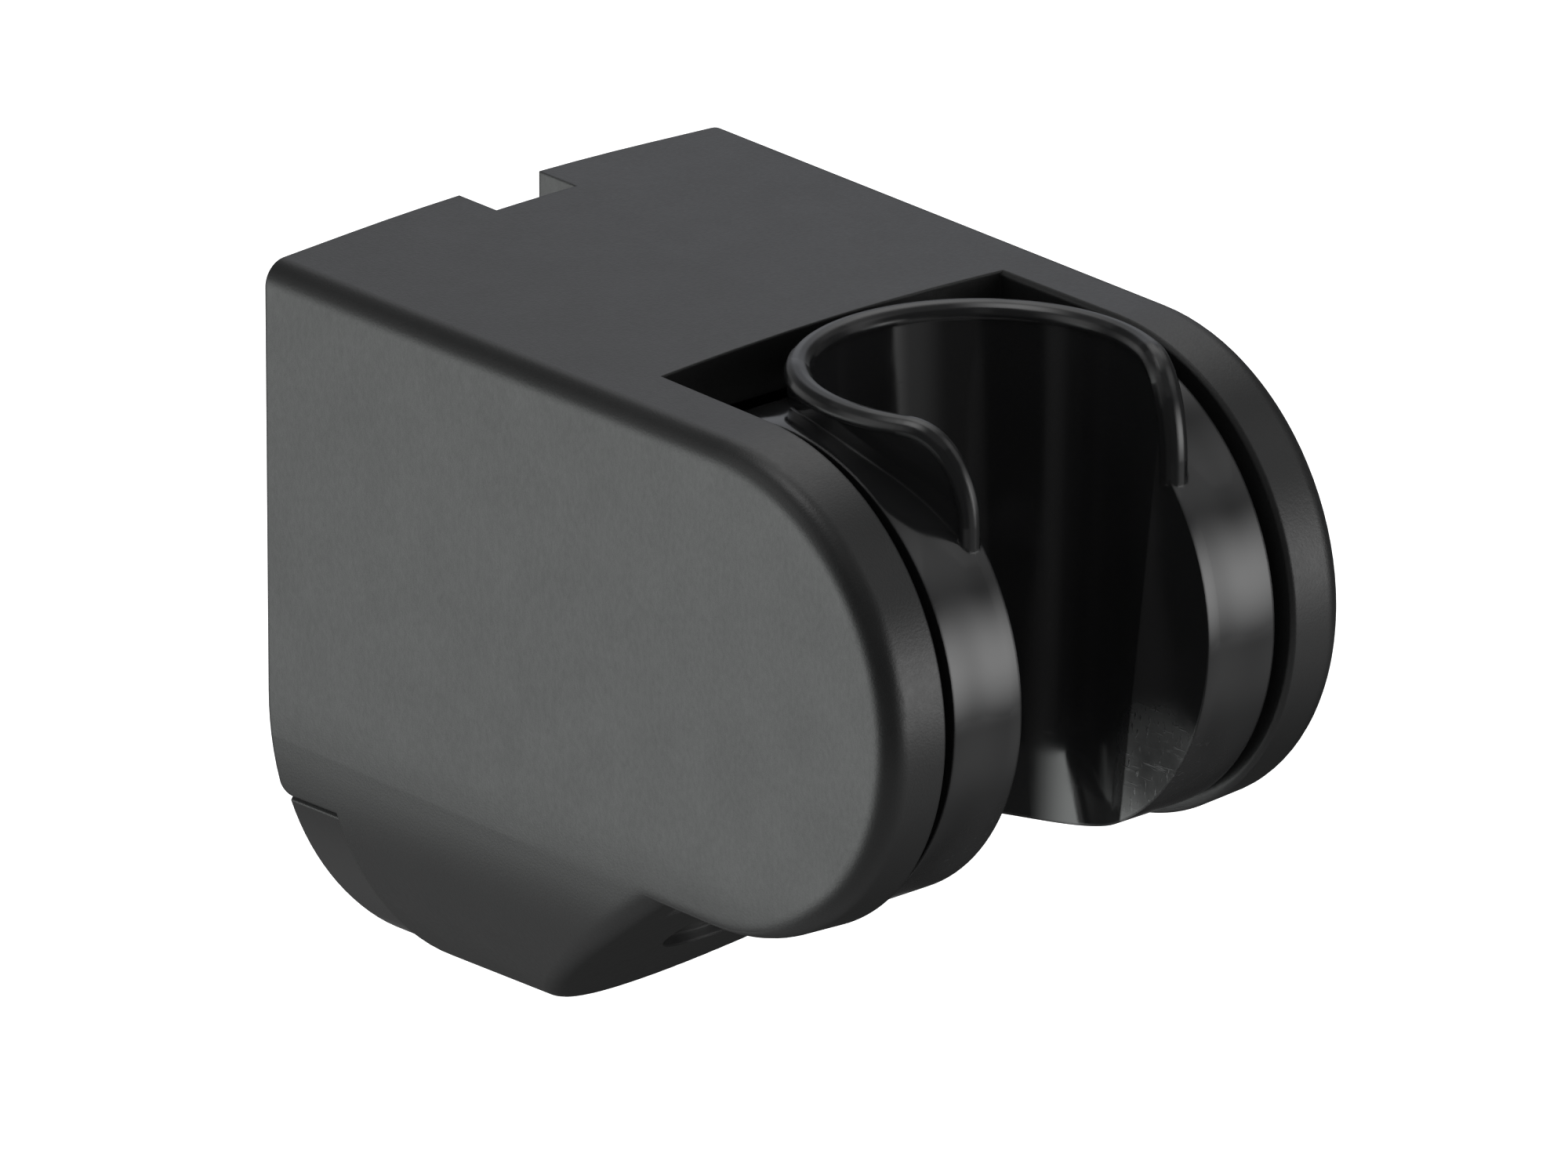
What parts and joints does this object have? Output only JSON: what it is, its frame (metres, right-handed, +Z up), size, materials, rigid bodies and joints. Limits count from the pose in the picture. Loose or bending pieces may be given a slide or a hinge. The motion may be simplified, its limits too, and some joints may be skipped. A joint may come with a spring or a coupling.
{
  "type": "hand shower holder",
  "caption": "Wall holder for a hand shower: a fork-shaped housing on a screwed wall plate, with a tilting drum cradle whose tapered cup is slotted open at the front.",
  "frame": {"origin": "on the wall face, in the middle across and at mid height", "axes": "+Y into the wall, so the holder reaches out along -Y; +Z up; X across, along the tilt axis"},
  "size_m": [0.046, 0.067, 0.0594],
  "materials": {
    "housing_plastic": "fine satin texture",
    "plate_plastic": "smooth",
    "cradle_plastic": "polished",
    "ring_rubber": "dull"
  },
  "bodies": {
    "holder": {"housing": "housing_plastic", "wall_plate": "plate_plastic", "friction_ring_left": "ring_rubber", "friction_ring_right": "ring_rubber"},
    "cradle": {"cradle": "cradle_plastic"}
  },
  "joints": [
    {"name": "cradle_tilt", "type": "hinge", "parent": "holder", "child": "cradle", "pos_m": [0, -0.0479, 0.00929], "axis": [1, 0, 0], "range_deg": [-3, 30]}
  ]
}
